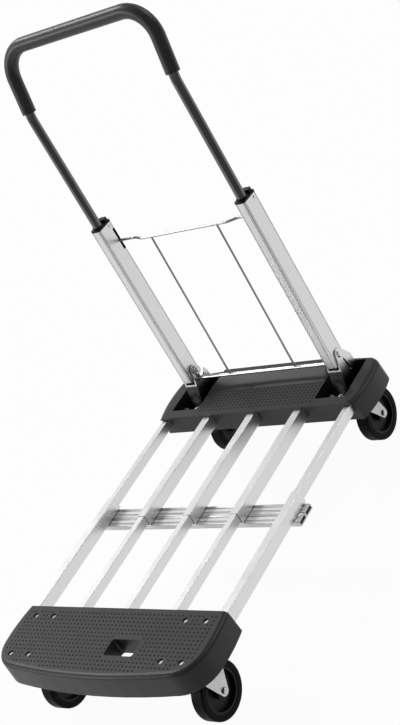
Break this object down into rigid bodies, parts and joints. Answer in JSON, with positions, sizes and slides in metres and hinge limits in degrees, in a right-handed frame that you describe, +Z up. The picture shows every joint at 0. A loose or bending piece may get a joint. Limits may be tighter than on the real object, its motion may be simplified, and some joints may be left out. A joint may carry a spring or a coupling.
{
  "type": "folding platform truck",
  "caption": "Folding platform hand truck: telescoping tube deck between two moulded units, four casters, fold-down telescoping U handle with wire release grid.",
  "frame": {"origin": "on the floor under the centre of the object's bounding box, deck pulled out and handle up", "axes": "+Z up, +Y towards the handle end, +X to the right when looking towards the handle"},
  "size_m": [0.489, 0.7809, 0.9334],
  "materials": {
    "black_plastic": "moulded, fine dotted top",
    "black_nylon": "moulded, satin",
    "tyre_rubber": "matte rubber",
    "hub_plastic": "moulded, satin",
    "grip_foam": "soft foam",
    "chrome_wire": "bright chrome",
    "chromed_tube": "polished chrome",
    "tube_aluminium": "clear anodised",
    "sleeve_aluminium": "clear anodised",
    "bar_aluminium": "clear anodised",
    "zinc_plate": "bright zinc plate"
  },
  "bodies": {
    "rear_frame": {"rear_housing": "black_plastic", "rear_left_tube": "tube_aluminium", "rear_centre_tube": "tube_aluminium", "rear_right_tube": "tube_aluminium", "rear_outer_left_tube": "tube_aluminium", "rear_outer_right_tube": "tube_aluminium", "rear_tube_glides": "black_nylon", "rear_cross_bar": "bar_aluminium", "rear_cross_bar_caps": "black_nylon", "rear_cross_bar_rivets": "zinc_plate", "rear_tube_screws": "zinc_plate", "left_hinge_bracket": "zinc_plate", "right_hinge_bracket": "zinc_plate", "hinge_pivot_bolts": "zinc_plate", "rear_caster_bolts": "zinc_plate", "rear_caster_nuts": "zinc_plate", "rear_left_caster_plate": "zinc_plate", "rear_right_caster_plate": "zinc_plate", "rear_swivel_balls": "zinc_plate"},
    "rear_left_swivel": {"rear_left_fork": "zinc_plate", "rear_left_axle": "zinc_plate"},
    "rear_right_swivel": {"rear_right_fork": "zinc_plate", "rear_right_axle": "zinc_plate"},
    "rear_left_wheel": {"rear_left_tyre": "tyre_rubber", "rear_left_hub": "hub_plastic"},
    "rear_right_wheel": {"rear_right_tyre": "tyre_rubber", "rear_right_hub": "hub_plastic"},
    "front_frame": {"front_housing": "black_plastic", "front_outer_left_tube": "tube_aluminium", "front_outer_right_tube": "tube_aluminium", "front_left_tube": "tube_aluminium", "front_centre_tube": "tube_aluminium", "front_right_tube": "tube_aluminium", "front_tube_glides": "black_nylon", "front_cross_bar": "bar_aluminium", "front_cross_bar_caps": "black_nylon", "front_cross_bar_rivets": "zinc_plate", "front_tube_screws": "zinc_plate", "front_left_fork": "zinc_plate", "front_right_fork": "zinc_plate", "front_left_axle": "zinc_plate", "front_right_axle": "zinc_plate", "front_caster_screws": "zinc_plate", "front_caster_nuts": "zinc_plate"},
    "front_left_wheel": {"front_left_tyre": "tyre_rubber", "front_left_hub": "hub_plastic"},
    "front_right_wheel": {"front_right_tyre": "tyre_rubber", "front_right_hub": "hub_plastic"},
    "handle_sleeves": {"left_sleeve": "sleeve_aluminium", "right_sleeve": "sleeve_aluminium", "left_collar": "black_nylon", "right_collar": "black_nylon", "collar_pins": "zinc_plate", "left_handle_foot": "black_nylon", "right_handle_foot": "black_nylon"},
    "release_grid": {"release_bar": "chrome_wire", "grid_wires": "chrome_wire"},
    "push_handle": {"push_handle_tube": "chromed_tube", "foam_grip": "grip_foam", "push_handle_glides": "black_nylon"}
  },
  "joints": [
    {"name": "deck_slide", "type": "slide", "parent": "rear_frame", "child": "front_frame", "axis": [0, 1, 0], "range_m": [0, 0.21]},
    {"name": "handle_fold", "type": "hinge", "parent": "rear_frame", "child": "handle_sleeves", "pos_m": [0, 0.32782, 0.2085], "axis": [1, 0, 0], "range_deg": [0, 94]},
    {"name": "handle_telescope", "type": "slide", "parent": "handle_sleeves", "child": "push_handle", "axis": [0, 0.048, 0.9988], "range_m": [-0.22, 0]},
    {"name": "release_lift", "type": "slide", "parent": "handle_sleeves", "child": "release_grid", "axis": [0, 0.048, 0.9988], "range_m": [0, 0.006], "stiffness_N_per_m": 300, "springref_m": -0.02},
    {"name": "rear_left_swivel", "type": "hinge", "parent": "rear_frame", "child": "rear_left_swivel", "pos_m": [-0.179, 0.31332, 0.1], "axis": [0, 0, 1], "continuous": true},
    {"name": "rear_right_swivel", "type": "hinge", "parent": "rear_frame", "child": "rear_right_swivel", "pos_m": [0.179, 0.31332, 0.1], "axis": [0, 0, 1], "continuous": true},
    {"name": "rear_left_wheel_spin", "type": "hinge", "parent": "rear_left_swivel", "child": "rear_left_wheel", "pos_m": [-0.179, 0.34132, 0.05], "axis": [1, 0, 0], "continuous": true},
    {"name": "rear_right_wheel_spin", "type": "hinge", "parent": "rear_right_swivel", "child": "rear_right_wheel", "pos_m": [0.179, 0.34132, 0.05], "axis": [1, 0, 0], "continuous": true},
    {"name": "front_left_wheel_spin", "type": "hinge", "parent": "front_frame", "child": "front_left_wheel", "pos_m": [-0.1765, -0.30928, 0.05], "axis": [1, 0, 0], "continuous": true},
    {"name": "front_right_wheel_spin", "type": "hinge", "parent": "front_frame", "child": "front_right_wheel", "pos_m": [0.1765, -0.30928, 0.05], "axis": [1, 0, 0], "continuous": true}
  ]
}
